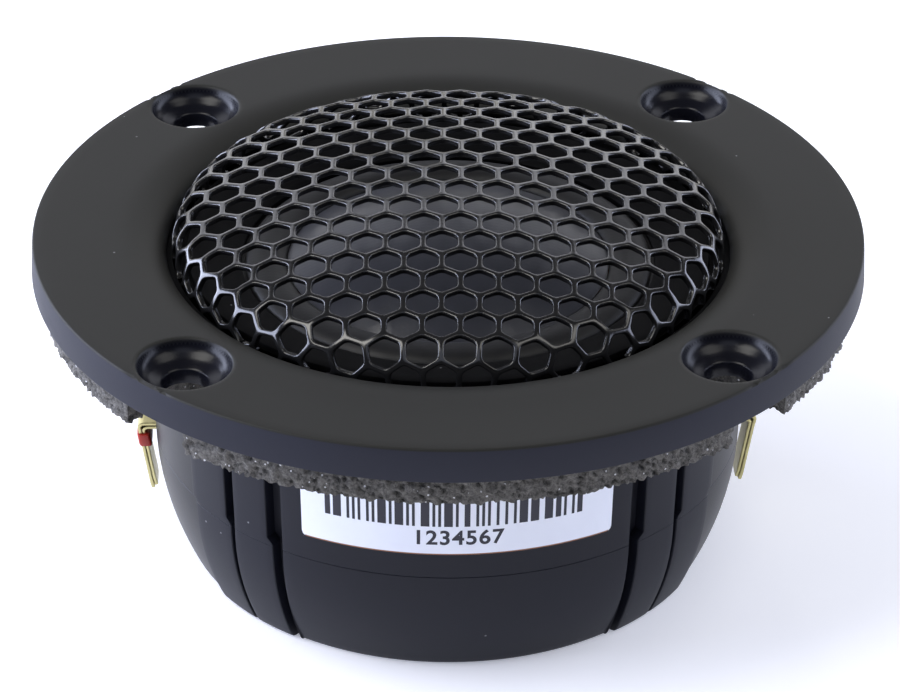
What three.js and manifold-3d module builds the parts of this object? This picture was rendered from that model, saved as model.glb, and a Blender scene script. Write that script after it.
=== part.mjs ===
// A small flush-mount dome tweeter: flanged faceplate, pressed hexagon grille, 28 mm textile dome,
// vented neodymium motor, sleeve-shaped chassis and rear cup. Millimetres, +Z is the listening axis.
// The origin is the centre of the rear cup's flat rear face.
import * as THREE from 'three';
import { mergeVertices } from 'three/addons/utils/BufferGeometryUtils.js';
import Module from 'manifold-3d';

const wasm = await Module();
wasm.setup();

// Overall sizes
const overallDepth = 30;          // rear face to the flange's top face
const flangeRadius = 36;
const flangeThickness = 3;
const flangeDraft = 0.15;         // the flange is this much wider at its rear face
const flangeEdgeRound = 0.25;
const bodyRadius = 26.95;         // chassis, just under the flange
const bodyDraft = 0.6;            // the chassis is this much narrower at its seam
const rearCupDepth = 11;
const rearCupInset = 2.7;         // the rear cup's side curves in by this much
const rearEdgeRound = 0.5;
const bodyWall = 1.8;
const fitGap = 0.05;              // clearance between flat faces that seat on each other
const roundGap = 0.3;             // clearance between round pieces, one inside the other

// Mounting screws
const screwCount = 4;
const screwEdgeDistance = 4.3;    // from the screw circle to the flange's edge
const screwHoleRadius = 1.88;
const recessRadius = 4;
const recessFloorRadius = 2.9;
const recessDepth = 1.65;
const recessEdgeRound = 0.35;

// Faceplate opening and waveguide
const openingRadius = 24.5;
const lipWidth = 4;               // the opening's lip rolls over this much of the flange
const lipDrop = 2;
const grooveDepth = 2.6;          // the groove that holds the grille's rim
const grooveWidth = 1.8;
const throatMargin = 0.25;        // the throat clears the surround's roll by this much
const throatDepth = 3.1;
const throatEdge = 0.5;

// Grille
const grillePitch = 3.19;         // spacing of the hexagons in a row
const grilleRowStep = 2.7;        // spacing of the rows; regular hexagons would need 2.76
const grilleShiftX = -0.52;       // the hexagons aren't centred on the opening
const grilleShiftY = 1.15;
const grilleTurn = -2.2;          // nor are the rows quite square to the screw holes, in degrees
const grilleStrut = 0.5;
const grilleSheet = 0.5;
const grilleRimGap = 0.5;         // between the grille's rim and the opening's lip
const grilleRise = 4.6;           // the crown stands this much above the flange's top face
const grilleCrownDrop = 2.6;      // how far the crown falls between its centre and its shoulder
const grilleShoulderRadius = 2.6; // bend radius where the crown turns down

// Diaphragm
const domeRadius = 14;
const domeRise = 3.8;
const domeDepth = 3.5;            // the dome's edge lies this far below the flange's top face
const domeThickness = 0.3;
const surroundWidth = 3.5;
const surroundRise = 0.9;
const surroundLand = 1.3;         // flat edge that is glued to the ring
const ringThickness = 1.4;
const ringOverlap = 0.5;          // how far the ring reaches inside the surround's land
const formerWall = 0.15;
const formerLength = 5.6;
const coilThickness = 0.35;
const coilLength = 3;
const gapClearance = 0.4;         // air between the moving coil and the metal on each side

// Motor
const poleThickness = 2.5;
const capThickness = 0.2;         // copper cap over the pole plate
const magnetThickness = 4.5;
const magnetInset = 0.5;          // the magnet is this much smaller than the pole plate
const yokeBase = 2.8;
const yokeWall = 4.2;
const ventRadius = 4;
const feltThickness = 1.5;
const shelfThickness = 2;

// Rear chamber
const chamberFeltThickness = 3;
const rearWall = 2;

// Slots and panels moulded into the body, mirrored about the front and the back.
// Angles are degrees from the middle of a panel to a slot's nearer edge, and to the panel's edge.
const wideSlotStart = 33.9;
const narrowSlotStart = 45.35;
const chassisSlots = { wide: 1.6, narrow: 1.05, panelEdge: 58.1 };
const cupSlots = { wide: 0.95, narrow: 0.4, panelEdge: 57 };
const slotDepth = 1.1;
const slotWallAngle = 0.25;
const panelStep = 0.4;
const funnelHeight = 0.6;         // height over which a slot narrows at the seam

// Foam gasket
const gasketThickness = 2.6;
const gasketEdgeInset = 0.8;      // set back from the flange's edge
const gasketGapAngle = 11;        // gap at each mounting screw

// Terminals and wires
const terminalWidth = 2.8;
const terminalThickness = 0.7;
const terminalDrop = 7;
const terminalStandoff = 0.55;    // air between the body and the tab
const terminalReach = 3.2;        // how far the terminal reaches inside the body's wall
const terminalLean = 1.1;
const terminalNotchGap = 0.3;     // air round the terminal in the rear cup's notch
const sleeveLength = 1.2;
const sleeveWall = 0.25;
const wireRadius = 0.35;
const wireNotch = 2;              // width of the openings that the wires pass through
const wireRoom = 3.4;             // least space between the motor and the body's bore
const leadRadius = 0.2;

// Label
const labelSpan = 59.2;           // degrees
const labelTopDrop = 6.2;         // below the flange's top face
const labelBottomDrop = 16.5;
const labelThickness = 0.12;
const labelCornerRadius = 1;

// Facets
const visibleFacets = 60;
const hiddenFacets = 32;
const recessFacets = 16;

// Levels worked out from the sizes above
const flangeTop = overallDepth;
const flangeRear = flangeTop - flangeThickness;
const seamHeight = rearCupDepth;
const seamRadius = bodyRadius - bodyDraft;
const bodyBore = seamRadius - bodyWall;
const ringTop = flangeTop - domeDepth - 0.5;
const ringBottom = ringTop - ringThickness;
const landInnerRadius = domeRadius + fitGap + surroundWidth + 0.2;
const landOuterRadius = landInnerRadius + surroundLand;
const throatRadius = landInnerRadius + throatMargin;
const ringInnerRadius = landInnerRadius - ringOverlap + 0.2;
const ringOuterRadius = bodyBore - 0.4;
const yokeTop = ringBottom - fitGap;
const coilInnerRadius = domeRadius;
const coilOuterRadius = coilInnerRadius + coilThickness;
const capRadius = domeRadius - formerWall - gapClearance;
const poleRadius = capRadius - capThickness;
const magnetRadius = poleRadius - magnetInset;
const yokeBoreRadius = coilOuterRadius + gapClearance;
const yokeOuterRadius = Math.min(yokeBoreRadius + yokeWall, bodyBore - wireRoom);
const poleBottom = yokeTop - poleThickness;
const magnetBottom = poleBottom - magnetThickness;
const yokeBottom = magnetBottom - yokeBase;
const shelfTop = yokeTop;
const shelfBottom = shelfTop - shelfThickness;
const shelfBore = yokeOuterRadius + roundGap;
const wireDropRadius = (bodyBore + shelfBore) / 2 + 0.6;
const grilleRadius = openingRadius - grilleRimGap;
const screwCircleRadius = flangeRadius - screwEdgeDistance;
const gasketOuterRadius = flangeRadius - gasketEdgeInset;
const gasketInnerRadius = bodyRadius + roundGap;
const chamberFeltRadius = seamRadius - rearCupInset - bodyWall - 1;
const feltBottom = yokeTop + 2 * fitGap + capThickness;
const formerTop = flangeTop - domeDepth - domeThickness - 0.25;
const coilMiddle = yokeTop - poleThickness / 2;
const terminalTop = seamHeight - 0.08;
const terminalOutside = seamRadius + terminalStandoff + terminalThickness;
const terminalInside = bodyBore - terminalReach;
const leadHeight = ringBottom + 0.45;
const leadEnd = Math.min(ringInnerRadius + 1.3, wireDropRadius - 1.6);

const group = new THREE.Group();

function material(color, roughness, metalness) {
  return new THREE.MeshStandardMaterial({ color, roughness, metalness });
}

// Vertices shared between faces, with the faces turned to point out of the solid.
function closed(geometry) {
  geometry.deleteAttribute('normal');
  geometry.deleteAttribute('uv');
  const merged = mergeVertices(geometry, 1e-4);
  const position = merged.getAttribute('position');
  const source = merged.getIndex().array;
  const index = [];
  const a = new THREE.Vector3();
  const b = new THREE.Vector3();
  const c = new THREE.Vector3();
  let volume = 0;
  for (let i = 0; i < source.length; i += 3) {
    const [p, q, r] = [source[i], source[i + 1], source[i + 2]];
    if (p === q || q === r || r === p) continue;
    index.push(p, q, r);
    a.fromBufferAttribute(position, p);
    b.fromBufferAttribute(position, q);
    c.fromBufferAttribute(position, r);
    volume += a.dot(b.cross(c));
  }
  if (volume < 0) index.reverse();
  merged.setIndex(index);
  return merged;
}

function toSolid(geometry) {
  const merged = closed(geometry);
  return new wasm.Manifold(new wasm.Mesh({
    numProp: 3,
    vertProperties: new Float32Array(merged.getAttribute('position').array),
    triVerts: new Uint32Array(merged.getIndex().array),
  }));
}

function fromSolid(solid) {
  const mesh = solid.getMesh();
  const geometry = new THREE.BufferGeometry();
  geometry.setAttribute('position', new THREE.BufferAttribute(new Float32Array(mesh.vertProperties), 3));
  geometry.setIndex(Array.from(mesh.triVerts));
  return geometry;
}

function addPiece(name, geometry, finish) {
  const mesh = new THREE.Mesh(geometry, finish);
  mesh.name = name;
  group.add(mesh);
  return mesh;
}

// A ring or disc turned about +Z from a profile of [radius, height] points.
// A profile that starts and ends on the axis makes a disc; any other is joined to its start.
function turned(profile, facets) {
  const points = profile.map(([radius, height]) => new THREE.Vector2(radius, height));
  const onAxis = profile[0][0] === 0;
  if (!onAxis) points.push(points[0].clone());
  const geometry = new THREE.LatheGeometry(points, facets);
  geometry.rotateX(Math.PI / 2);
  return closed(geometry);
}

function tube(inner, outer, bottom, top, facets = hiddenFacets) {
  return turned([[inner, bottom], [outer, bottom], [outer, top], [inner, top]], facets);
}

// A closed skin through loops of points. The last loop joins the first when ring is true;
// otherwise the two end loops are closed by a fan about their own centres.
function lofted(loops, ring) {
  const count = loops[0].length;
  const positions = loops.flat().flatMap((p) => [p.x, p.y, p.z]);
  const index = [];
  const bands = ring ? loops.length : loops.length - 1;
  for (let i = 0; i < bands; i += 1) {
    const low = i * count;
    const high = ((i + 1) % loops.length) * count;
    for (let j = 0; j < count; j += 1) {
      const k = (j + 1) % count;
      index.push(low + j, low + k, high + k, low + j, high + k, high + j);
    }
  }
  if (!ring) {
    [0, loops.length - 1].forEach((end) => {
      const centre = positions.length / 3;
      const middle = new THREE.Vector3();
      loops[end].forEach((p) => middle.add(p));
      middle.divideScalar(count);
      positions.push(middle.x, middle.y, middle.z);
      for (let j = 0; j < count; j += 1) {
        const k = (j + 1) % count;
        const pair = end === 0 ? [k, j] : [j, k];
        index.push(centre, end * count + pair[0], end * count + pair[1]);
      }
    });
  }
  const geometry = new THREE.BufferGeometry();
  geometry.setAttribute('position', new THREE.Float32BufferAttribute(positions, 3));
  geometry.setIndex(index);
  return closed(geometry);
}

function box(width, length, height, x, y, z) {
  return new THREE.BoxGeometry(width, length, height).translate(x, y, z);
}

function polar(radius, degrees, height) {
  const angle = THREE.MathUtils.degToRad(degrees);
  return new THREE.Vector3(radius * Math.cos(angle), radius * Math.sin(angle), height);
}

// A round wire through the given points.
function wire(points, radius) {
  const section = new THREE.Shape();
  const sides = 6;
  for (let i = 0; i < sides; i += 1) {
    const angle = (2 * Math.PI * i) / sides;
    const [x, y] = [radius * Math.cos(angle), radius * Math.sin(angle)];
    if (i === 0) section.moveTo(x, y);
    else section.lineTo(x, y);
  }
  const path = new THREE.CatmullRomCurve3(points);
  const steps = 3 * (points.length - 1);
  return closed(new THREE.ExtrudeGeometry(section, { steps, extrudePath: path, bevelEnabled: false }));
}

// Faceplate: flange, rolled lip, grille groove and waveguide in one moulding.
function makeFaceplate() {
  const down = (drop) => flangeTop - drop;
  const rearOfWaveguide = ringTop + fitGap;
  const landRelief = ringTop + domeThickness + fitGap;
  const profile = [
    [throatRadius, down(throatDepth)],
    [openingRadius - grooveWidth, down(lipDrop)],
    [openingRadius - grooveWidth, down(grooveDepth)],
    [openingRadius, down(grooveDepth)],
  ];
  const lipSteps = 4;
  for (let i = 0; i <= lipSteps; i += 1) {
    const angle = (Math.PI / 2) * (i / lipSteps);
    const radius = openingRadius + lipWidth * (1 - Math.cos(angle));
    profile.push([radius, down(lipDrop * (1 - Math.sin(angle)))]);
  }
  profile.push(
    [flangeRadius - flangeEdgeRound, flangeTop],
    [flangeRadius, flangeTop - flangeEdgeRound],
    [flangeRadius + flangeDraft, flangeRear],
    [bodyBore - roundGap, flangeRear],
    [bodyBore - roundGap, rearOfWaveguide],
    [landOuterRadius + fitGap, rearOfWaveguide],
    [landOuterRadius + fitGap, landRelief],
    [throatRadius, Math.min(landRelief, down(throatDepth + throatEdge))],
  );
  let plate = toSolid(turned(profile, visibleFacets));
  const floor = down(recessDepth);
  const recess = [
    [0, flangeRear - 1],
    [screwHoleRadius, flangeRear - 1],
    [screwHoleRadius, floor],
    [recessFloorRadius, floor],
    [recessRadius - recessEdgeRound, down(recessEdgeRound)],
    [recessRadius, flangeTop],
    [recessRadius, flangeTop + 1],
    [0, flangeTop + 1],
  ];
  for (let i = 0; i < screwCount; i += 1) {
    const centre = polar(screwCircleRadius, 45 + (360 / screwCount) * i, 0);
    const cutter = turned(recess, recessFacets).translate(centre.x, centre.y, 0);
    plate = plate.subtract(toSolid(cutter));
  }
  return fromSolid(plate);
}

// Grille: a flat sheet of hexagon holes, then pressed over a crowned profile with a turned-down rim.
function grilleProfile() {
  const outer = grilleRadius;
  const shoulderStart = outer - grilleShoulderRadius;
  const crownRadius = shoulderStart ** 2 / (2 * grilleCrownDrop);
  const tilt = Math.asin(shoulderStart / crownRadius);
  const crownLength = crownRadius * tilt;
  const bend = Math.PI / 2 - tilt;
  const bendRadius = grilleShoulderRadius / (1 - Math.sin(tilt));
  const bendLength = bendRadius * bend;
  const crownEdgeHeight = flangeTop + grilleRise - crownRadius * (1 - Math.cos(tilt));
  const skirtTop = crownEdgeHeight - bendRadius * Math.cos(tilt);
  const skirtLength = skirtTop - (flangeTop - grooveDepth + fitGap);
  const length = crownLength + bendLength + skirtLength;
  // Radius, height and outward tilt of the outer face at a distance along the sheet.
  function at(distance) {
    if (distance <= crownLength) {
      const angle = distance / crownRadius;
      const height = flangeTop + grilleRise - crownRadius * (1 - Math.cos(angle));
      return [crownRadius * Math.sin(angle), height, angle];
    }
    if (distance <= crownLength + bendLength) {
      const angle = tilt + (distance - crownLength) / bendRadius;
      const radius = shoulderStart + bendRadius * (Math.sin(angle) - Math.sin(tilt));
      const height = crownEdgeHeight - bendRadius * (Math.cos(tilt) - Math.cos(angle));
      return [radius, height, angle];
    }
    return [outer, skirtTop - (distance - crownLength - bendLength), Math.PI / 2];
  }
  return { at, length };
}

function makeGrille() {
  const { at, length } = grilleProfile();
  const squash = grilleRowStep / (grillePitch * Math.sqrt(0.75));
  const holeRadius = (grillePitch - grilleStrut) / Math.sqrt(3);
  const rows = Math.ceil(length / grilleRowStep) + 1;
  const columns = Math.ceil(length / grillePitch) + 1;
  const sheet = new THREE.Shape();
  const sheetSides = 90;
  for (let i = 0; i < sheetSides; i += 1) {
    const corner = polar(length, (360 / sheetSides) * i, 0);
    if (i === 0) sheet.moveTo(corner.x, corner.y);
    else sheet.lineTo(corner.x, corner.y);
  }
  const outline = { depth: grilleSheet, bevelEnabled: false };
  let flat = toSolid(new THREE.ExtrudeGeometry(sheet, outline).translate(0, 0, -grilleSheet));
  for (let row = -rows; row <= rows; row += 1) {
    for (let column = -columns; column <= columns; column += 1) {
      const x = grilleShiftX + grillePitch * (column + (Math.abs(row) % 2) / 2);
      const y = grilleShiftY + grilleRowStep * row;
      const reach = Math.hypot(x, y);
      if (reach > length + holeRadius - 0.3) continue;
      const hole = new THREE.Shape();
      for (let i = 0; i < 6; i += 1) {
        const corner = polar(holeRadius, 30 + 60 * i, 0);
        if (i === 0) hole.moveTo(x + corner.x, y + corner.y * squash);
        else hole.lineTo(x + corner.x, y + corner.y * squash);
      }
      const cut = { depth: 3 * grilleSheet, bevelEnabled: false };
      const punch = new THREE.ExtrudeGeometry(hole, cut).translate(0, 0, -2 * grilleSheet);
      flat = flat.subtract(toSolid(punch.rotateZ(THREE.MathUtils.degToRad(grilleTurn))));
    }
  }
  const geometry = fromSolid(flat);
  const position = geometry.getAttribute('position');
  for (let i = 0; i < position.count; i += 1) {
    const [x, y, depth] = [position.getX(i), position.getY(i), position.getZ(i)];
    const distance = Math.hypot(x, y);
    const [radius, height, tilt] = at(distance);
    const pressed = radius + depth * Math.sin(tilt);
    const scale = distance > 0 ? pressed / distance : 0;
    position.setXYZ(i, x * scale, y * scale, height + depth * Math.cos(tilt));
  }
  return geometry;
}

// Angles of a level line round the body, with its depth at each one.
function bodyColumns({ wide, narrow, panelEdge }) {
  const half = [10, 20, 29].map((angle) => [angle, 0]);
  const edge = (angle, before, after) => {
    half.push([angle - slotWallAngle / 2, before], [angle + slotWallAngle / 2, after]);
  };
  const slot = (start, width) => {
    edge(start, 0, slotDepth);
    edge(start + THREE.MathUtils.radToDeg(width / seamRadius), slotDepth, 0);
  };
  slot(wideSlotStart, wide);
  slot(narrowSlotStart, narrow);
  edge(panelEdge, 0, panelStep);
  half.push([68, panelStep], [79, panelStep]);
  return [-90, 90].flatMap((facing) => [
    ...half.map(([angle, depth]) => [facing - angle, depth]).reverse(),
    [facing, 0],
    ...half.map(([angle, depth]) => [facing + angle, depth]),
    [facing + 90, panelStep],
  ]);
}

function bodyLoop(radius, height, slots) {
  return bodyColumns(slots).map(([angle, depth]) => polar(radius - depth, angle, height));
}

function boreLoop(radius, height, slots) {
  return bodyColumns(slots).map(([angle]) => polar(radius, angle, height));
}

function chassisRadius(height) {
  return seamRadius + (bodyDraft * (height - seamHeight)) / (flangeRear - seamHeight);
}

// Chassis: a slotted sleeve with a shelf that carries the motor.
function makeChassis() {
  const top = flangeRear - fitGap;
  const bottom = seamHeight + fitGap;
  const ledge = ringBottom - fitGap;
  let chassis = toSolid(lofted([
    bodyLoop(chassisRadius(bottom), bottom, cupSlots),
    bodyLoop(chassisRadius(bottom + funnelHeight), bottom + funnelHeight, chassisSlots),
    bodyLoop(chassisRadius(top), top, chassisSlots),
    boreLoop(bodyBore, top, chassisSlots),
    boreLoop(bodyBore, ledge, chassisSlots),
    boreLoop(shelfBore, ledge, chassisSlots),
    boreLoop(shelfBore, shelfBottom, chassisSlots),
    boreLoop(bodyBore, shelfBottom - 0.6, chassisSlots),
    boreLoop(bodyBore, bottom, cupSlots),
  ], true));
  [-1, 1].forEach((side) => {
    const height = 2 * shelfThickness + 2;
    const notch = box(2.6, wireNotch, height, side * wireDropRadius, 0, shelfTop - shelfThickness / 2);
    chassis = chassis.subtract(toSolid(notch));
  });
  return fromSolid(chassis);
}

// Rear cup: the closed rear chamber, with the same slots narrowed and a notch for each terminal.
function makeRearCup() {
  const radiusAt = (height) => seamRadius - rearCupInset * ((seamHeight - height) / rearCupDepth) ** 2;
  const outside = [
    bodyLoop(radiusAt(0) - rearEdgeRound, 0, cupSlots),
    bodyLoop(radiusAt(rearEdgeRound) - 0.3 * rearEdgeRound, 0.4 * rearEdgeRound, cupSlots),
  ];
  [0.2, 0.42, 0.69, 1].forEach((share) => {
    const height = seamHeight * share;
    outside.push(bodyLoop(radiusAt(height), height, cupSlots));
  });
  const boreBottom = radiusAt(rearWall) - bodyWall;
  let cup = toSolid(lofted([
    ...outside,
    boreLoop(bodyBore, seamHeight, cupSlots),
    boreLoop(boreBottom + 1, rearWall + 2.5, cupSlots),
    boreLoop(boreBottom - 0.4, rearWall, cupSlots),
  ], false));
  [-1, 1].forEach((side) => {
    const width = terminalWidth + 2 * terminalNotchGap;
    const height = terminalThickness + terminalNotchGap;
    const notch = box(6, width, 2 * height, side * seamRadius, 0, seamHeight);
    cup = cup.subtract(toSolid(notch));
  });
  return fromSolid(cup);
}

// Foam gasket: flat arcs between the mounting screws.
function makeGasket() {
  const span = 360 / screwCount - gasketGapAngle;
  const half = THREE.MathUtils.degToRad(span / 2);
  const arc = new THREE.Shape();
  arc.absarc(0, 0, gasketOuterRadius, -half, half, false);
  arc.absarc(0, 0, gasketInnerRadius, half, -half, true);
  const outline = { depth: gasketThickness, bevelEnabled: false, curveSegments: 12 };
  const bottom = flangeRear - fitGap - gasketThickness;
  return closed(new THREE.ExtrudeGeometry(arc, outline).translate(0, 0, bottom));
}

// Dome: a spherical cap shell.
function makeDome() {
  const sphere = (domeRadius ** 2 + domeRise ** 2) / (2 * domeRise);
  const edge = Math.asin(domeRadius / sphere);
  const apex = flangeTop - domeDepth + domeRise;
  const steps = 4;
  const outside = [];
  const inside = [];
  for (let i = 0; i <= steps; i += 1) {
    const angle = (edge * i) / steps;
    outside.push([sphere * Math.sin(angle), apex - sphere * (1 - Math.cos(angle))]);
    const inner = sphere - domeThickness;
    inside.push([inner * Math.sin(angle), apex - sphere + inner * Math.cos(angle)]);
  }
  outside[0][0] = 0;
  inside[0][0] = 0;
  return turned([...outside, ...inside.reverse()], hiddenFacets);
}

// Surround: a half roll between the dome's edge and a flat land on the ring.
function makeSurround() {
  const rollInner = domeRadius + fitGap;
  const rollOuter = landInnerRadius;
  const middle = (rollInner + rollOuter) / 2;
  const halfWidth = (rollOuter - rollInner) / 2;
  const base = ringTop + domeThickness;
  const steps = 4;
  const top = [];
  const under = [];
  for (let i = 0; i <= steps; i += 1) {
    const angle = Math.PI * (1 - i / steps);
    const radius = middle + halfWidth * Math.cos(angle);
    const height = base + surroundRise * Math.sin(angle);
    top.push([radius, height]);
    under.push([radius, height - domeThickness]);
  }
  return turned([
    ...top,
    [landOuterRadius, base],
    [landOuterRadius, ringTop + 0.001],
    ...under.reverse(),
  ], hiddenFacets);
}

// Ring that the surround is glued to, with a slot under it for each coil lead.
function makeRing() {
  let ring = toSolid(tube(ringInnerRadius, ringOuterRadius, ringBottom, ringTop - 0.001));
  const slotHeight = ringThickness - 0.4;
  [-1, 1].forEach((side) => {
    const start = ringInnerRadius - 1;
    const end = wireDropRadius + wireRadius + roundGap;
    const slot = box(end - start, wireNotch, 2 * slotHeight, (side * (start + end)) / 2, 0, ringBottom);
    ring = ring.subtract(toSolid(slot));
  });
  return fromSolid(ring);
}

// Voice coil on its former, hung from the dome's edge.
function makeFormer() {
  const inner = domeRadius - formerWall;
  return tube(inner, domeRadius - 0.001, formerTop - formerLength, formerTop);
}

function makeCoil() {
  const bottom = coilMiddle - coilLength / 2;
  return tube(coilInnerRadius + 0.001, coilOuterRadius, bottom, bottom + coilLength);
}

// Motor: a cup-shaped yoke round a magnet, a pole plate and its copper cap, vented through the middle.
function makeYoke() {
  return turned([
    [ventRadius, yokeBottom],
    [yokeOuterRadius, yokeBottom],
    [yokeOuterRadius, yokeTop],
    [yokeBoreRadius, yokeTop],
    [yokeBoreRadius, magnetBottom - fitGap],
    [ventRadius, magnetBottom - fitGap],
  ], hiddenFacets);
}

function makeCopperCap() {
  return turned([
    [ventRadius, yokeTop + fitGap],
    [poleRadius + fitGap, yokeTop + fitGap],
    [poleRadius + fitGap, poleBottom],
    [capRadius, poleBottom],
    [capRadius, yokeTop + fitGap + capThickness],
    [ventRadius, yokeTop + fitGap + capThickness],
  ], hiddenFacets);
}

// Terminal: a folded brass tab that leaves the body at the seam and hangs beside the rear cup.
function makeTerminal(side) {
  const outline = new THREE.Shape();
  outline.moveTo(terminalInside, terminalTop);
  outline.lineTo(terminalOutside - 0.3, terminalTop);
  outline.lineTo(terminalOutside, terminalTop - 0.3);
  outline.lineTo(terminalOutside - terminalLean, terminalTop - terminalDrop);
  outline.lineTo(terminalOutside - terminalLean - terminalThickness, terminalTop - terminalDrop);
  outline.lineTo(terminalOutside - terminalThickness, terminalTop - terminalThickness);
  outline.lineTo(terminalInside, terminalTop - terminalThickness);
  const depth = { depth: terminalWidth, bevelEnabled: false };
  const tab = new THREE.ExtrudeGeometry(outline, depth).translate(0, 0, -terminalWidth / 2);
  tab.rotateX(Math.PI / 2);
  if (side < 0) tab.rotateZ(Math.PI);
  return closed(tab);
}

// Red sleeve that marks the positive terminal, threaded over the tab just below its bend.
function makeSleeve(side) {
  const top = terminalTop - terminalThickness - 0.45;
  const lean = (drop) => (terminalLean * drop) / terminalDrop;
  const ringOf = (drop, grow) => {
    const outer = terminalOutside - lean(drop) + grow;
    const inner = terminalOutside - terminalThickness - lean(drop) - grow;
    const half = terminalWidth / 2 + grow;
    const height = terminalTop - drop;
    return [[inner, -half], [outer, -half], [outer, half], [inner, half]]
      .map(([x, y]) => new THREE.Vector3(side * x, side * y, height));
  };
  const first = terminalTop - top;
  const last = first + sleeveLength;
  return lofted([
    ringOf(first, fitGap),
    ringOf(first, sleeveWall),
    ringOf(last, sleeveWall),
    ringOf(last, fitGap),
  ], true);
}

// Hook-up wire from a terminal's inner end, up the wall and through the shelf to the ring.
function makeHookupWire(side) {
  const start = leadEnd + 0.5;
  const drop = wireDropRadius;
  const point = (x, z) => new THREE.Vector3(side * x, 0, z);
  return wire([
    point(start, leadHeight),
    point(drop - 0.5, leadHeight - 0.5),
    point(drop, shelfTop - shelfThickness / 2),
    point(drop, shelfBottom - 2),
    point(drop, (shelfBottom + seamHeight) / 2),
    point(terminalInside + 0.8, terminalTop + 2),
    point(terminalInside + 0.6, terminalTop + fitGap),
  ], wireRadius);
}

// Coil lead: a flexible strand from the former to the ring.
function makeCoilLead(side) {
  const point = (x, z) => new THREE.Vector3(side * x, 0, z);
  const start = coilOuterRadius + 0.1;
  return wire([
    point(start, leadHeight + 0.1),
    point(start + 0.9, leadHeight + 0.25),
    point(start + 2, leadHeight + 0.2),
    point(leadEnd - 0.9, leadHeight),
    point(leadEnd, leadHeight),
  ], leadRadius);
}

// Label: a thin printed sheet that follows the chassis.
function makeLabel() {
  const top = flangeTop - labelTopDrop;
  const bottom = flangeTop - labelBottomDrop;
  const steps = 12;
  const rim = [];
  const half = labelSpan / 2;
  const corner = THREE.MathUtils.radToDeg(labelCornerRadius / bodyRadius);
  for (let i = 0; i <= steps; i += 1) {
    rim.push(-90 - half + (labelSpan * i) / steps);
  }
  rim.splice(1, 0, -90 - half + corner * 0.3, -90 - half + corner);
  rim.splice(rim.length - 1, 0, -90 + half - corner, -90 + half - corner * 0.3);
  const trim = (angle) => {
    const inset = Math.max(0, corner - (half - Math.abs(angle + 90))) / corner;
    return labelCornerRadius * (1 - Math.sqrt(Math.max(0, 1 - inset ** 2)));
  };
  const loops = rim.map((angle) => {
    const [low, high] = [bottom + trim(angle), top - trim(angle)];
    const inner = fitGap;
    const outer = fitGap + labelThickness;
    return [[low, inner], [low, outer], [high, outer], [high, inner]]
      .map(([height, lift]) => polar(chassisRadius(height) + lift, angle, height));
  });
  return lofted(loops, false);
}

const blackPlastic = material(0x3e3f40, 0.5, 0);
const feltWool = material(0x77736a, 0.95, 0);
const blackSteel = material(0x2a2a2b, 0.35, 0.4);
const steel = material(0x8a8c8f, 0.35, 1);
const brass = material(0xc9c08a, 0.35, 1);
const foam = material(0x4a4844, 0.95, 0);
const cloth = material(0x4c4e58, 0.6, 0);

addPiece('faceplate', makeFaceplate(), blackPlastic);
addPiece('grille', makeGrille(), blackSteel);
addPiece('dome', makeDome(), cloth);
addPiece('surround', makeSurround(), material(0x26272b, 0.6, 0));
addPiece('diaphragm_ring', makeRing(), material(0x1c1d20, 0.6, 0));
addPiece('voice_coil_former', makeFormer(), material(0xb8babd, 0.4, 1));
addPiece('voice_coil', makeCoil(), material(0xb0673a, 0.4, 1));
addPiece('copper_cap', makeCopperCap(), material(0xb87048, 0.3, 1));
addPiece('pole_plate', tube(ventRadius, poleRadius, poleBottom, yokeTop), steel);
const magnet = tube(ventRadius, magnetRadius, magnetBottom, poleBottom - fitGap);
addPiece('magnet', magnet, material(0xa6a8aa, 0.25, 1));
addPiece('yoke', makeYoke(), steel);
const poleFelt = tube(ventRadius, capRadius - 1.5, feltBottom, feltBottom + feltThickness);
addPiece('pole_felt', poleFelt, feltWool);
addPiece('chassis', makeChassis(), blackPlastic);
addPiece('rear_cup', makeRearCup(), blackPlastic);
const chamberFeltBottom = rearWall + fitGap;
const chamberFeltTop = chamberFeltBottom + chamberFeltThickness;
addPiece('chamber_felt', tube(ventRadius, chamberFeltRadius, chamberFeltBottom, chamberFeltTop), feltWool);

['right', 'rear', 'left', 'front'].forEach((place, i) => {
  const gasket = makeGasket().rotateZ((2 * Math.PI * i) / screwCount);
  addPiece(`gasket_${place}`, gasket, foam);
});

[['left', -1], ['right', 1]].forEach(([place, side]) => {
  addPiece(`terminal_${place}`, makeTerminal(side), brass);
  addPiece(`hookup_wire_${place}`, makeHookupWire(side), material(side < 0 ? 0x9a2a22 : 0x202124, 0.5, 0));
  addPiece(`coil_lead_${place}`, makeCoilLead(side), material(0xc08a5c, 0.4, 1));
});
addPiece('polarity_sleeve', makeSleeve(-1), material(0xa3271f, 0.5, 0));
addPiece('serial_label', makeLabel(), material(0xe4e9f8, 0.6, 0));

export default group;
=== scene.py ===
import math
import random

import bmesh
import bpy
import numpy as np
from mathutils import Matrix, Vector, geometry, noise


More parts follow.
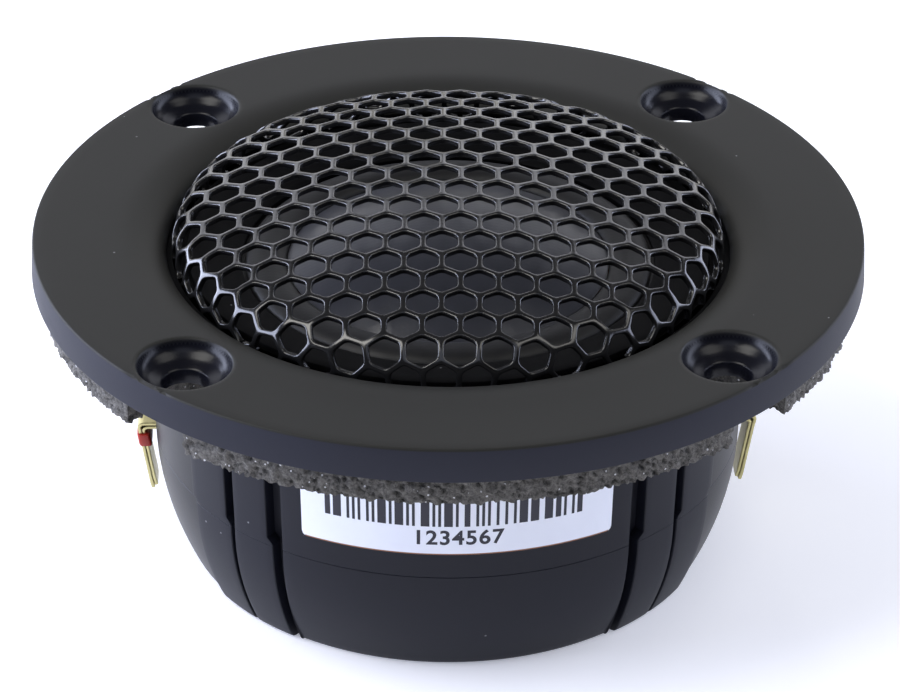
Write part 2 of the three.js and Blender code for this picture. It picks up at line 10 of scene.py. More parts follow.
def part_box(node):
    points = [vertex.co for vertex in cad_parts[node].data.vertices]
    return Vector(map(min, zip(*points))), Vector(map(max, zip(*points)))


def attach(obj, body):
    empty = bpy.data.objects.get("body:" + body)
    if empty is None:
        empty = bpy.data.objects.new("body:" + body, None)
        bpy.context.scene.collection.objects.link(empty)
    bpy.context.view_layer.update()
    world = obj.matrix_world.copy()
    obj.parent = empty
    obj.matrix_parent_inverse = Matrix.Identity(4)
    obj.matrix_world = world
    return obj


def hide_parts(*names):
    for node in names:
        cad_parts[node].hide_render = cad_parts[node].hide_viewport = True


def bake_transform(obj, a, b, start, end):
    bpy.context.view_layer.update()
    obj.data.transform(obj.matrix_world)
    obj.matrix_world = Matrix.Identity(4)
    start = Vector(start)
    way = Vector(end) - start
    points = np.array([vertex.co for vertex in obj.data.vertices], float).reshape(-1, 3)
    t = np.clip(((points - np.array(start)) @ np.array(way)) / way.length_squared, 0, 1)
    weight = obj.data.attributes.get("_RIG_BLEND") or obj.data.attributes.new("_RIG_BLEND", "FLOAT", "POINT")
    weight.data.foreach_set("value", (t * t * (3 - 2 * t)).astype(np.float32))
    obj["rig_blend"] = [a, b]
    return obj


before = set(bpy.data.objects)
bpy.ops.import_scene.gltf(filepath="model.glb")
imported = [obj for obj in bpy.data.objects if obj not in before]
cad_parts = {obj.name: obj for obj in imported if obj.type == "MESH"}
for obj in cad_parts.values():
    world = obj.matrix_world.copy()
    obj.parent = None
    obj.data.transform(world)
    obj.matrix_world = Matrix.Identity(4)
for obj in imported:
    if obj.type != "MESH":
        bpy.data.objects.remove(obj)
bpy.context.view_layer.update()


# Levels of the assembly in millimetres, from the frame: the rear cup stands on the bench at zero,
# the flange's face is on top, and the chassis meets the rear cup at the seam.
def node_range(node):
    low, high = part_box(node)
    return low * 1000, high * 1000


plate_high = node_range("faceplate")[1]
cup_high = node_range("rear_cup")[1]
chassis_high = node_range("chassis")[1]
flange_top = plate_high.z
seam = cup_high.z
flange_radius = plate_high.x


# Bench and camera. The tweeter stands on a white acrylic light table and is seen from a little
# above, through a long lens a third of a metre away.
def srgb(hex_code):
    """A colour given as a hex code, such as #3E3F40, as the linear values that a shader takes."""
    parts = [int(hex_code[i:i + 2], 16) / 255 for i in (1, 3, 5)]
    return [p / 12.92 if p <= 0.04045 else ((p + 0.055) / 1.055) ** 2.4 for p in parts] + [1.0]


def new_material(name):
    """A named material with its Principled shader."""
    material = bpy.data.materials.new(name)
    material.use_nodes = True
    return material, material.node_tree.nodes["Principled BSDF"]


def add(material, kind, inputs, **settings):
    """Adds one node. An input is a value, or the socket of another node that feeds it."""
    node = material.node_tree.nodes.new(kind)
    for name, value in settings.items():
        setattr(node, name, value)
    feed(material, node, inputs)
    return node


def feed(material, node, inputs):
    """Sets a node's inputs, each to a value or to the socket that feeds it."""
    for socket, value in inputs.items():
        if isinstance(value, bpy.types.NodeSocket):
            material.node_tree.links.new(value, node.inputs[socket])
        else:
            node.inputs[socket].default_value = value


bench_white, bench_shader = new_material("lit_white_acrylic_bench")
feed(bench_white, bench_shader, {
    "Base Color": srgb("#F2F2F3"), "Roughness": 0.65, "Emission Color": srgb("#EDF0FF"),
    "Emission Strength": 0.35})
bpy.ops.mesh.primitive_plane_add(size=6, location=(0, 0, 0))
bench = bpy.context.object
bench.name = "bench"
bench.data.materials.append(bench_white)

camera_distance = 348.1
camera_height_angle = math.radians(31.42)
camera_turn = math.radians(-2.16)
camera_roll = math.radians(0.376)
camera_aim_right = 0.14
camera_aim_up = -10.53
toward_camera = Vector((
    math.sin(camera_turn) * math.cos(camera_height_angle),
    -math.cos(camera_turn) * math.cos(camera_height_angle),
    math.sin(camera_height_angle),
))
level_right = Vector((math.cos(camera_turn), math.sin(camera_turn), 0))
level_up = toward_camera.cross(level_right)
view_right = math.cos(camera_roll) * level_right + math.sin(camera_roll) * level_up
view_up = -math.sin(camera_roll) * level_right + math.cos(camera_roll) * level_up
camera_place = toward_camera * camera_distance + view_right * camera_aim_right + view_up * camera_aim_up
camera_place += Vector((0, 0, flange_top))
camera_data = bpy.data.cameras.new("camera")
camera_data.lens = 160.45
camera_data.sensor_width = 36
camera_data.clip_start = 0.01
camera = bpy.data.objects.new("camera", camera_data)
bpy.context.collection.objects.link(camera)
camera.matrix_world = Matrix((
    (view_right.x, view_up.x, toward_camera.x, camera_place.x / 1000),
    (view_right.y, view_up.y, toward_camera.y, camera_place.y / 1000),
    (view_right.z, view_up.z, toward_camera.z, camera_place.z / 1000),
    (0, 0, 0, 1),
))
bpy.context.scene.camera = camera


# Studio light: low softboxes on both sides of the bench, two behind it, two overhead to the left and
# right, the left ones stronger, and a warm pale backdrop that fades towards the front and the top.
light_aim = Vector((0, 0, 0.02))


def softbox(name, place, width, height, power, tint):
    """A rectangular light, in metres and watts, that faces the tweeter."""
    data = bpy.data.lights.new(name, "AREA")
    data.shape = "RECTANGLE"
    data.size = width
    data.size_y = height
    data.energy = power
    data.color = srgb(tint)[:3]
    light = bpy.data.objects.new(name, data)
    bpy.context.collection.objects.link(light)
    light.location = place
    light.rotation_euler = (light_aim - Vector(place)).to_track_quat("-Z", "Y").to_euler()


softbox("softbox_left", (-0.38, 0.07, 0.12), 0.5, 0.2, 3.5, "#DCE4FF")
softbox("softbox_right", (0.4, 0.09, 0.12), 0.5, 0.2, 1.5, "#DCE4FF")
softbox("softbox_back_left", (-0.3, 0.75, 0.36), 0.5, 0.5, 1.3, "#F2F4FF")
softbox("softbox_back_right", (0.25, 0.75, 0.36), 0.5, 0.5, 1.2, "#F2F4FF")
softbox("softbox_top_left", (-0.4, -0.12, 0.68), 0.42, 0.42, 4.0, "#FFFDF8")
softbox("softbox_top_right", (0.4, -0.12, 0.68), 0.42, 0.42, 1.6, "#FFFDF8")
softbox("softbox_front", (0.0, -0.5, 0.7), 0.5, 0.5, 0.8, "#E3EAFF")
world = bpy.data.worlds.new("studio_room")
world.use_nodes = True
room = add(world, "ShaderNodeTexCoord", {}).outputs["Generated"]
heading = add(world, "ShaderNodeSeparateXYZ", {"Vector": room})
backdrop = add(world, "ShaderNodeMapRange", {
    "Value": heading.outputs["Y"], "From Min": -0.2, "From Max": 0.9, "To Min": 0.08, "To Max": 0.9})
height_fade = add(world, "ShaderNodeMapRange", {
    "Value": heading.outputs["Z"], "From Min": 0.1, "From Max": 0.42, "To Min": 1.0, "To Max": 0.14})
strength = add(world, "ShaderNodeMath", {
    0: backdrop.outputs["Result"], 1: height_fade.outputs["Result"]}, operation="MULTIPLY")
feed(world, world.node_tree.nodes["Background"], {
    "Color": srgb("#EEEAE0"), "Strength": strength.outputs[0]})
bpy.context.scene.world = world
bpy.context.scene.view_settings.view_transform = "Standard"


# Faceplate: one moulding in black glass-filled ABS with the flange, four recessed screw holes, the
# lip that rolls into the opening, the groove for the grille and the waveguide. The mould's fine
# spark-eroded grain leaves a satin skin; the recesses were polished and are glossier. Painted shade:
# the recesses are coloured navy black, the waveguide near black with little specular, and the outer
# wall a slightly darker, bluer black, as painted shade and painted bluish reflection.
flange_thickness = flange_top - chassis_high.z
edge_round = 0.2
opening_radius = 24.5
lip_width = 4.0
lip_drop = 2.0
groove_floor = 2.6
groove_inner = 22.7
throat_radius = 18.0
throat_drop = 3.1
spigot_radius = 24.25
spigot_drop = 3.95
screw_circle = 31.65
screw_hole = 1.9
recess_profile = (
    (1.9, -1.86), (1.94, -1.78), (2.1, -1.7), (2.5, -1.56), (2.85, -1.42), (3.05, -1.31), (3.14, -1.22),
    (3.24, -1.16), (3.42, -1.03), (3.62, -0.84), (3.78, -0.6), (3.88, -0.36), (3.94, -0.18), (4.0, -0.07),
    (4.06, -0.02), (4.12, 0.0),
)
plate_steps = 288
hole_steps = 72


def turned_strip(profile, steps):
    """Points and quads of a profile of (radius, height) turned about the axis, open at both ends."""
    turns = np.arange(steps) * 2 * math.pi / steps
    points = [(r * math.cos(a), r * math.sin(a), z) for r, z in profile for a in turns]
    quads = []
    for row in range(len(profile) - 1):
        for i in range(steps):
            j = (i + 1) % steps
            low, high = row * steps, (row + 1) * steps
            quads.append((low + i, low + j, high + j, high + i))
    return points, quads


def joined(*parts):
    """Several (points, faces) lists as one."""
    points, faces = [], []
    for part_points, part_faces in parts:
        start = len(points)
        points.extend(part_points)
        faces.extend(tuple(start + i for i in face) for face in part_faces)
    return points, faces


def make_piece(name, shape, material, body, replaced=(), crease=35, weld=0.002):
    """A mesh object from points in millimetres, welded, with its normals out and sharp past crease."""
    points, faces = shape
    mesh = bpy.data.meshes.new(name)
    mesh.from_pydata([(x / 1000, y / 1000, z / 1000) for x, y, z in points], [], faces)
    work = bmesh.new()
    work.from_mesh(mesh)
    bmesh.ops.remove_doubles(work, verts=work.verts, dist=weld / 1000)
    bmesh.ops.dissolve_degenerate(work, edges=work.edges, dist=1e-7)
    bmesh.ops.recalc_face_normals(work, faces=work.faces)
    for face in work.faces:
        face.smooth = True
    for edge in work.edges:
        if len(edge.link_faces) == 2 and edge.calc_face_angle(0) > math.radians(crease):
            edge.smooth = False
    work.to_mesh(mesh)
    work.free()
    thing = bpy.data.objects.new(name, mesh)
    bpy.context.collection.objects.link(thing)
    if material:
        mesh.materials.append(material)
    if replaced:
        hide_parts(*replaced)
    if body:
        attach(thing, body)
    return thing


def plate_height(x, y):
    """Drop of the faceplate's upper skin below the flange's face."""
    radius = math.hypot(x, y)
    inward = max(0.0, (opening_radius + lip_width - radius) / lip_width)
    outward = max(0.0, (radius - flange_radius + 0.15 + edge_round) / edge_round)
    height = -lip_drop * (1 - math.sqrt(max(0.0, 1 - min(inward, 1) ** 2)))
    height -= edge_round * (1 - math.sqrt(max(0.0, 1 - min(outward, 1) ** 2)))
    for hole in hole_centres:
        away = math.hypot(x - hole[0], y - hole[1])
        if away < recess_profile[-1][0]:
            depths = np.interp(away, [p[0] for p in recess_profile], [p[1] for p in recess_profile])
            height = min(height, float(depths))
    return height


hole_centres = [
    (screw_circle * math.cos(math.radians(a)), screw_circle * math.sin(math.radians(a)))
    for a in (45, 135, 225, 315)
]


def plate_skin(inner, outer, radii, hole_rings, height_of):
    """A flat ring with the screw holes left out, refined round them, and raised by height_of."""
    flat = []
    for radius in radii:
        for i in range(plate_steps):
            angle = 2 * math.pi * i / plate_steps
            x, y = radius * math.cos(angle), radius * math.sin(angle)
            near = min(math.hypot(x - h[0], y - h[1]) for h in hole_centres)
            if radius in (inner, outer) or near > hole_rings[-1] + 0.15:
                flat.append((x, y))
    for hole in hole_centres:
        for ring in hole_rings:
            for i in range(hole_steps):
                angle = 2 * math.pi * (i + 0.5 * (hole_rings.index(ring) % 2)) / hole_steps
                x, y = hole[0] + ring * math.cos(angle), hole[1] + ring * math.sin(angle)
                if math.hypot(x, y) < outer - 0.06:
                    flat.append((x, y))
    spots, _, triangles, *_ = geometry.delaunay_2d_cdt([Vector(p) for p in flat], [], [], 0, 1e-5)
    kept = []
    for triangle in triangles:
        x = sum(spots[i].x for i in triangle) / 3
        y = sum(spots[i].y for i in triangle) / 3
        near = min(math.hypot(x - h[0], y - h[1]) for h in hole_centres)
        if math.hypot(x, y) > inner and near > hole_rings[0] * 0.999:
            kept.append(tuple(triangle))
    return [(p.x, p.y, flange_top + height_of(p.x, p.y)) for p in spots], kept


top_outer = flange_radius - 0.15
lip_radii = [opening_radius + lip_width * (1 - math.cos(math.radians(a))) for a in range(0, 91, 9)]
edge_radii = [top_outer - edge_round * (1 - math.sin(math.radians(a))) for a in (0, 22, 45, 67)]
top_radii = lip_radii + [29.6, 31.0, 32.4, 33.8, 34.9] + edge_radii + [top_outer]
top_skin = plate_skin(
    opening_radius, top_outer, top_radii, [p[0] for p in recess_profile] + [4.4], plate_height)
rear_radii = [spigot_radius, 27.5, 31.5, 34.5, flange_radius - 0.1]
rear_skin = plate_skin(
    spigot_radius, flange_radius - 0.1, rear_radii, [screw_hole, 2.1], lambda x, y: -flange_thickness)
outer_wall = turned_strip([
    (top_outer, flange_top - edge_round),
    (top_outer + 0.02, flange_top - 0.5),
    (flange_radius, flange_top - flange_thickness + 0.12),
    (flange_radius - 0.03, flange_top - flange_thickness + 0.03),
    (flange_radius - 0.1, flange_top - flange_thickness),
], plate_steps)
waveguide = turned_strip([(radius, flange_top - drop) for radius, drop in (
    (opening_radius, lip_drop), (opening_radius, groove_floor), (groove_inner, groove_floor),
    (groove_inner, lip_drop + 0.15), (groove_inner - 0.05, lip_drop + 0.04),
    (groove_inner - 0.18, lip_drop), (21.5, 2.2), (20.3, 2.44), (19.2, 2.72), (18.5, 2.95),
    (throat_radius + 0.12, throat_drop - 0.02), (throat_radius, throat_drop + 0.1),
    (throat_radius, 3.6), (19.1, 3.65), (19.1, spigot_drop), (spigot_radius, spigot_drop),
    (spigot_radius, flange_thickness),
)], plate_steps)
hole_walls = []
for centre in hole_centres:
    points, quads = turned_strip(
        [(screw_hole, recess_profile[0][1]), (screw_hole, -flange_thickness)], hole_steps)
    hole_walls.append(([(x + centre[0], y + centre[1], z + flange_top) for x, y, z in points], quads))


def clouded(material, scale, detail, dark, light):
    """Object coordinates, a soft noise in them, and two shades of a colour mixed by that noise."""
    place = add(material, "ShaderNodeTexCoord", {}).outputs["Object"]
    cloud = add(material, "ShaderNodeTexNoise", {"Vector": place, "Scale": scale, "Detail": detail})
    colour = add(material, "ShaderNodeMix", {
        "Factor": cloud.outputs["Fac"], "A": srgb(dark), "B": srgb(light)}, data_type="RGBA")
    return place, cloud.outputs["Fac"], colour.outputs["Result"]


def satin_black_abs(name, light, dark, roughness, specular=0.2, recess_gloss_and_shade=False):
    """Black ABS: diffuse near black with a slightly cloudy satin skin, a 0.12 mm spark grain, and the
    few pale specks of dust that such a skin always carries. Where the recesses are marked, they get a
    lower roughness, and their base colour is darkened to navy black as painted shade."""
    material, shader = new_material(name)
    place, cloud, colour = clouded(material, 90.0, 3.0, dark, light)
    specks = add(material, "ShaderNodeTexVoronoi", {"Vector": place, "Scale": 800.0})
    lot = add(material, "ShaderNodeSeparateColor", {"Color": specks.outputs["Color"]})
    few = add(material, "ShaderNodeMath", {0: lot.outputs["Red"], 1: 0.95}, operation="GREATER_THAN")
    small = add(material, "ShaderNodeMath", {
        0: specks.outputs["Distance"], 1: 0.075}, operation="LESS_THAN")
    dust = add(material, "ShaderNodeMath", {0: few.outputs[0], 1: small.outputs[0]}, operation="MULTIPLY")
    dust_and_recess_shade = add(material, "ShaderNodeMix", {
        "Factor": dust.outputs[0], "A": colour, "B": srgb("#77777A")}, data_type="RGBA")
    grain = add(material, "ShaderNodeTexNoise", {"Vector": place, "Scale": 1 / 0.00012, "Detail": 2.0})
    rough = add(material, "ShaderNodeMapRange", {
        "Value": cloud, "To Min": roughness - 0.04, "To Max": roughness + 0.05})
    roughness_socket = rough.outputs["Result"]
    if recess_gloss_and_shade:
        depth = add(material, "ShaderNodeAttribute", {}, attribute_name="recess")
        roughness_socket = add(material, "ShaderNodeMix", {
            "Factor": depth.outputs["Fac"], "A": roughness_socket, "B": 0.26}).outputs["Result"]
        # Painted shade: the recesses' base colour is darkened to navy black, #101119.
        dust_and_recess_shade = add(material, "ShaderNodeMix", {
            "Factor": depth.outputs["Fac"], "A": dust_and_recess_shade.outputs["Result"], "B": srgb("#101119")},
            data_type="RGBA")
    bump = add(material, "ShaderNodeBump", {
        "Strength": 0.22, "Distance": 0.00003, "Height": grain.outputs["Fac"]})
    feed(material, shader, {
        "Base Color": dust_and_recess_shade.outputs["Result"], "Roughness": roughness_socket, "IOR": 1.5,
        "Specular IOR Level": specular, "Normal": bump.outputs["Normal"]})
    return material


flange_abs = satin_black_abs("black_abs_flange", "#242422", "#1D1D1B", 0.55, recess_gloss_and_shade=True)
# Painted shade: the flange's outer wall gets a slightly darker, bluer copy of the same ABS, standing in for its
# shade and the bluish light it reflects.
edge_shaded_abs = satin_black_abs("black_abs_flange_edge_painted_shade", "#20222F", "#191B26", 0.55)
# Painted shade: the waveguide gets a near-black copy of the same ABS with little specular, standing in for the
# shade under the grille.
waveguide_shaded_abs = satin_black_abs("black_abs_waveguide_painted_shade", "#09090B", "#060607", 0.6, specular=0.06)
faceplate = make_piece(
    "faceplate_moulding", joined(top_skin, rear_skin, outer_wall, waveguide, *hole_walls),
    flange_abs, "housing", ["faceplate"])
faceplate.data.materials.append(waveguide_shaded_abs)
faceplate.data.materials.append(edge_shaded_abs)
# Faces in the opening below the lip take the waveguide's painted shade; steep faces past the top's edge take the
# outer wall's painted shade and reflection.
for face in faceplate.data.polygons:
    radius, height = face.center.xy.length * 1000, face.center.z * 1000
    if radius < opening_radius and height < flange_top - lip_drop + 0.05:
        face.material_index = 1
    elif radius > top_outer and abs(face.normal.z) < 0.7:
        face.material_index = 2
# The recess mark sets where the recesses are glossier and where their painted shade goes.
recess_mark = faceplate.data.attributes.new("recess", "FLOAT", "POINT")
for vertex in faceplate.data.vertices:
    x, y, z = vertex.co * 1000
    away = min(math.hypot(x - h[0], y - h[1]) for h in hole_centres)
    recess_mark.data[vertex.index].value = min(1.0, max(0.0, (4.02 - away) / 0.12))


# Grille: mild steel sheet punched with staggered hexagons, pressed into a shallow crown with its edge
# turned down into the faceplate's groove, then dip painted glossy black.
grille_pitch = 3.19
grille_row_step = 2.7
grille_shift = (-0.52, 1.15)
grille_turn = math.radians(-2.2)
row_squash = grille_row_step / (grille_pitch * math.sqrt(0.75))
grille_strut = 0.52
grille_sheet = 0.5
grille_outer = opening_radius - 0.5
grille_rise = 4.55
crown_drop = 2.6
shoulder_bend = 2.6
punch_round = 0.11
border_corner = 0.22
hole_corner = 0.3
rim_gap = 0.66
shoulder_start = grille_outer - shoulder_bend
crown_radius = shoulder_start ** 2 / (2 * crown_drop)
crown_tilt = math.asin(shoulder_start / crown_radius)
crown_length = crown_radius * crown_tilt
bend_radius = shoulder_bend / (1 - math.sin(crown_tilt))
bend_length = bend_radius * (math.pi / 2 - crown_tilt)
crown_edge = flange_top + grille_rise - crown_radius * (1 - math.cos(crown_tilt))
skirt_top = crown_edge - bend_radius * math.cos(crown_tilt)
sheet_length = crown_length + bend_length + skirt_top - (flange_top - groove_floor + rim_gap)


def pressed(distance):
    """Radius, height and tilt of the pressed sheet's outer face at a distance along the flat sheet."""
    if distance <= crown_length:
        angle = distance / crown_radius
        sag = crown_radius * (1 - math.cos(angle))
        return crown_radius * math.sin(angle), flange_top + grille_rise - sag, angle
    if distance <= crown_length + bend_length:
        angle = crown_tilt + (distance - crown_length) / bend_radius
        radius = shoulder_start + bend_radius * (math.sin(angle) - math.sin(crown_tilt))
        return radius, crown_edge - bend_radius * (math.cos(crown_tilt) - math.cos(angle)), angle
    return grille_outer, skirt_top - (distance - crown_length - bend_length), math.pi / 2


def sheet_to_grille(point, depth):
    """Where a point of the punching pattern goes when the sheet is pressed. Rows are a little closer
    than in regular hexagons, and the pattern sits off centre and turned. The rim is at sheet_length."""
    x = (point.x + grille_shift[0]) * math.cos(grille_turn)
    x -= (point.y * row_squash + grille_shift[1]) * math.sin(grille_turn)
    y = (point.x + grille_shift[0]) * math.sin(grille_turn)
    y += (point.y * row_squash + grille_shift[1]) * math.cos(grille_turn)
    distance = math.hypot(x, y)
    if distance < 1e-9:
        return 0.0, 0.0, flange_top + grille_rise + depth
    radius, height, tilt = pressed(min(distance, sheet_length))
    scale = (radius + depth * math.sin(tilt)) / distance
    return x * scale, y * scale, height + depth * math.cos(tilt)


def hexagon(cx, cy, apothem, corner):
    """24 points round a pointed-top hexagon whose corners are cut back by corner."""
    corners = []
    for i in range(6):
        angle = math.radians(30 + 60 * i)
        corners.append(Vector((cx + apothem / math.cos(math.pi / 6) * math.cos(angle),
                               cy + apothem / math.cos(math.pi / 6) * math.sin(angle))))
    points = []
    for i in range(6):
        here, before, after = corners[i], corners[i - 1], corners[(i + 1) % 6]
        start = here + (before - here).normalized() * corner
        end = here + (after - here).normalized() * corner
        middle = (start + end) / 2 + (here - (start + end) / 2) * 0.42
        points += [start, middle, end, (here + after) / 2]
    return points


half_pitch = grille_pitch / 2
hole_half = half_pitch - grille_strut / 2
row_step = grille_pitch * math.sqrt(0.75)
ring_points = 24
grille_points, grille_faces = [], []
cell_sides = {}
for row in range(-12, 13):
    for column in range(-10, 11):
        cx = grille_pitch * (column + (abs(row) % 2) / 2)
        cy = row_step * row
        reach = math.hypot(cx + grille_shift[0], cy * row_squash + grille_shift[1])
        if reach > sheet_length + hole_half - 0.2:
            continue
        border = hexagon(cx, cy, half_pitch, border_corner)
        for i in range(6):
            border[4 * i + 1] = Vector((cx, cy)) + (border[4 * i + 1] - Vector((cx, cy))).normalized() * (
                half_pitch / math.cos(math.pi / 6))
        rings = [
            (border, 0.0),
            (hexagon(cx, cy, hole_half + punch_round, hole_corner), 0.0),
            (hexagon(cx, cy, hole_half + punch_round * 0.3, hole_corner), -punch_round * 0.3),
            (hexagon(cx, cy, hole_half, hole_corner), -punch_round),
            (hexagon(cx, cy, hole_half, hole_corner), -grille_sheet + 0.05),
            (hexagon(cx, cy, hole_half + 0.05, hole_corner), -grille_sheet),
            (border, -grille_sheet),
        ]
        start = len(grille_points)
        for outline, depth in rings:
            grille_points += [sheet_to_grille(point, depth) for point in outline]
        for ring in range(len(rings) - 1):
            for i in range(ring_points):
                j = (i + 1) % ring_points
                low, high = start + ring_points * ring, start + ring_points * (ring + 1)
                grille_faces.append((low + i, low + j, high + j, high + i))
        for side in range(6):
            middle = border[4 * side + 3]
            key = (round(middle.x, 2), round(middle.y, 2))
            cell_sides.setdefault(key, []).append((start, side))
for sharing in cell_sides.values():
    if len(sharing) == 1:
        start, side = sharing[0]
        for step in range(4):
            i = (4 * side + 1 + step) % ring_points
            j = (i + 1) % ring_points
            under = start + (len(rings) - 1) * ring_points
            grille_faces.append((start + i, start + j, under + j, under + i))


def dipped_black_paint():
    """Glossy black paint on steel: a smooth cool black coat with a faint 0.4 mm orange peel."""
    material, shader = new_material("black_dip_paint_on_steel")
    place, cloud, colour = clouded(material, 150.0, 2.0, "#131315", "#1B1B1C")
    peel = add(material, "ShaderNodeTexNoise", {"Vector": place, "Scale": 1 / 0.0004, "Detail": 2.0})
    rough = add(material, "ShaderNodeMapRange", {"Value": cloud, "To Min": 0.16, "To Max": 0.24})
    bump = add(material, "ShaderNodeBump", {
        "Strength": 0.25, "Distance": 0.00003, "Height": peel.outputs["Fac"]})
    feed(material, shader, {
        "Base Color": colour, "Roughness": rough.outputs["Result"],
        "Specular IOR Level": 0.5, "Coat Weight": 0.2, "Coat Roughness": 0.15,
        "Normal": bump.outputs["Normal"]})
    return material


make_piece("grille_mesh", (grille_points, grille_faces), dipped_black_paint(), "housing",
           ["grille"], crease=50)


# Dome: silk cloth pressed into a cap and sealed with a soft grey-blue coating. The coating levels
# the 0.25 mm weave almost flat and gives a broad sheen. It moves with the voice coil.
dome_radius = 14.0
dome_rise = 3.8
dome_base = flange_top - 3.5
dome_cloth = 0.3
dome_sphere = (dome_radius ** 2 + dome_rise ** 2) / (2 * dome_rise)
dome_edge = math.asin(dome_radius / dome_sphere)
dome_rows = 28


def cap_profile(radius, centre):
    swings = [dome_edge * i / dome_rows for i in range(1, dome_rows + 1)]
    return [(radius * math.sin(swing), centre + radius * math.cos(swing)) for swing in swings]


def closed_cap(profile, steps):
    """A turned profile whose first ring is closed with a fan to the axis."""
    points, quads = turned_strip(profile, steps)
    points.append((0, 0, profile[0][1] + (profile[0][1] - profile[1][1]) / 3))
    tip = len(points) - 1
    quads += [(tip, i, (i + 1) % steps) for i in range(steps)]
    return points, quads


dome_centre = dome_base + dome_rise - dome_sphere
dome_outer = closed_cap(cap_profile(dome_sphere, dome_centre), 144)
dome_inner = closed_cap(cap_profile(dome_sphere - dome_cloth, dome_centre), 144)
dome_hem = turned_strip([cap_profile(dome_sphere, dome_centre)[-1],
                         cap_profile(dome_sphere - dome_cloth, dome_centre)[-1]], 144)


def coated_cloth(name, light, dark, roughness, sheen):
    """Doped silk: a plain weave at 0.25 mm shows faintly through a rubbery coating of uneven
    thickness."""
    material, shader = new_material(name)
    place, cloud, colour = clouded(material, 160.0, 4.0, dark, light)
    warp, weft = [add(material, "ShaderNodeTexWave", {
        "Vector": place, "Scale": 1 / (0.00025 * 6.28), "Distortion": 0.6, "Detail": 1.0},
        bands_direction=threads).outputs["Fac"] for threads in "XY"]
    weave = add(material, "ShaderNodeMath", {0: warp, 1: weft}, operation="MULTIPLY")
    rough = add(material, "ShaderNodeMapRange", {
        "Value": cloud, "To Min": roughness - 0.05, "To Max": roughness + 0.05})
    bump = add(material, "ShaderNodeBump", {
        "Strength": 0.12, "Distance": 0.00003, "Height": weave.outputs[0]})
    feed(material, shader, {
        "Base Color": colour, "Roughness": rough.outputs["Result"], "Specular IOR Level": 0.4,
        "Sheen Weight": sheen, "Sheen Roughness": 0.4, "Normal": bump.outputs["Normal"]})
    return material


grey_silk = coated_cloth("grey_coated_silk", "#34363E", "#2B2C33", 0.3, 0.05)
make_piece("dome_cap", joined(dome_outer, dome_inner, dome_hem), grey_silk, "diaphragm",
           ["dome"])


# Surround: the same cloth with a darker dope, moulded into a half roll round the dome. Its land is
# glued to the ring in the housing and its inner edge goes up and down with the dome.
roll_width = 3.5
roll_inner = dome_radius + 0.05
roll_outer = roll_inner + roll_width + 0.2
roll_rise = 0.9
roll_steps = 20
land_outer = 19.05
land_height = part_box("surround")[0].z * 1000
roll_top = []
for i in range(roll_steps + 1):
    swing = math.pi * (1 - i / roll_steps)
    roll_top.append(((roll_inner + roll_outer) / 2 + (roll_outer - roll_inner) / 2 * math.cos(swing),
                     land_height + dome_cloth + roll_rise * math.sin(swing)))
roll_top.append((land_outer, land_height + dome_cloth))
roll_under = [(radius, height - dome_cloth) for radius, height in reversed(roll_top)]
surround = make_piece(
    "surround_roll", turned_strip(roll_top + roll_under + [roll_top[0]], 144),
    coated_cloth("dark_doped_silk", "#0F0F12", "#0B0B0D", 0.5, 0.05), None, ["surround"])
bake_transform(surround, "diaphragm", "housing", start=(roll_inner / 1000, 0, 0), end=(roll_outer / 1000, 0, 0))


def follow_by_radius(thing, inner, outer):
    """Lets a round piece follow its first body at the inner radius and its second at the outer one."""
    share = thing.data.attributes["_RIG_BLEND"].data
    for vertex in thing.data.vertices:
        radius = math.hypot(vertex.co.x, vertex.co.y) * 1000
        t = min(1.0, max(0.0, (radius - inner) / (outer - inner)))
        share[vertex.index].value = t * t * (3 - 2 * t)


follow_by_radius(surround, roll_inner, roll_outer)


# Coil leads: two strands of bare copper braid that flex between the voice coil's former, which moves,
# and the ring, which doesn't.
def strand_tube(path, radius, sides=10):
    """A round tube through a list of points, closed at both ends."""
    spots = [Vector(p) for p in path]
    points, faces = [], []
    for i, spot in enumerate(spots):
        along = (spots[min(i + 1, len(spots) - 1)] - spots[max(i - 1, 0)]).normalized()
        side = along.cross(Vector((0, 1, 0))).normalized()
        up = side.cross(along)
        for k in range(sides):
            angle = 2 * math.pi * k / sides
            across = side * (radius * math.cos(angle)) + up * (radius * math.sin(angle))
            points.append(tuple(spot + across))
    for i in range(len(spots) - 1):
        for k in range(sides):
            n = (k + 1) % sides
            faces.append((i * sides + k, i * sides + n, (i + 1) * sides + n, (i + 1) * sides + k))
    faces.append(tuple(range(sides)))
    faces.append(tuple((len(spots) - 1) * sides + k for k in reversed(range(sides))))
    return points, faces


def metal(name, bright, tarnished, roughness, groove, strength=0.15):
    """Bare metal with turning or drawing marks a groove apart in millimetres, and faint tarnish."""
    material, shader = new_material(name)
    place, tarnish, tint = clouded(material, 400.0, 4.0, tarnished, bright)
    marks = add(material, "ShaderNodeTexWave", {
        "Vector": place, "Scale": 1000 / (groove * 6.28), "Distortion": 1.5, "Detail": 2.0},
        wave_type="RINGS", rings_direction="Z")
    rough = add(material, "ShaderNodeMapRange", {
        "Value": tarnish, "To Min": roughness + 0.08, "To Max": roughness - 0.05})
    bump = add(material, "ShaderNodeBump", {
        "Strength": strength, "Distance": 0.00002, "Height": marks.outputs["Fac"]})
    feed(material, shader, {
        "Base Color": tint, "Metallic": 1.0, "Roughness": rough.outputs["Result"],
        "Normal": bump.outputs["Normal"]})
    return material


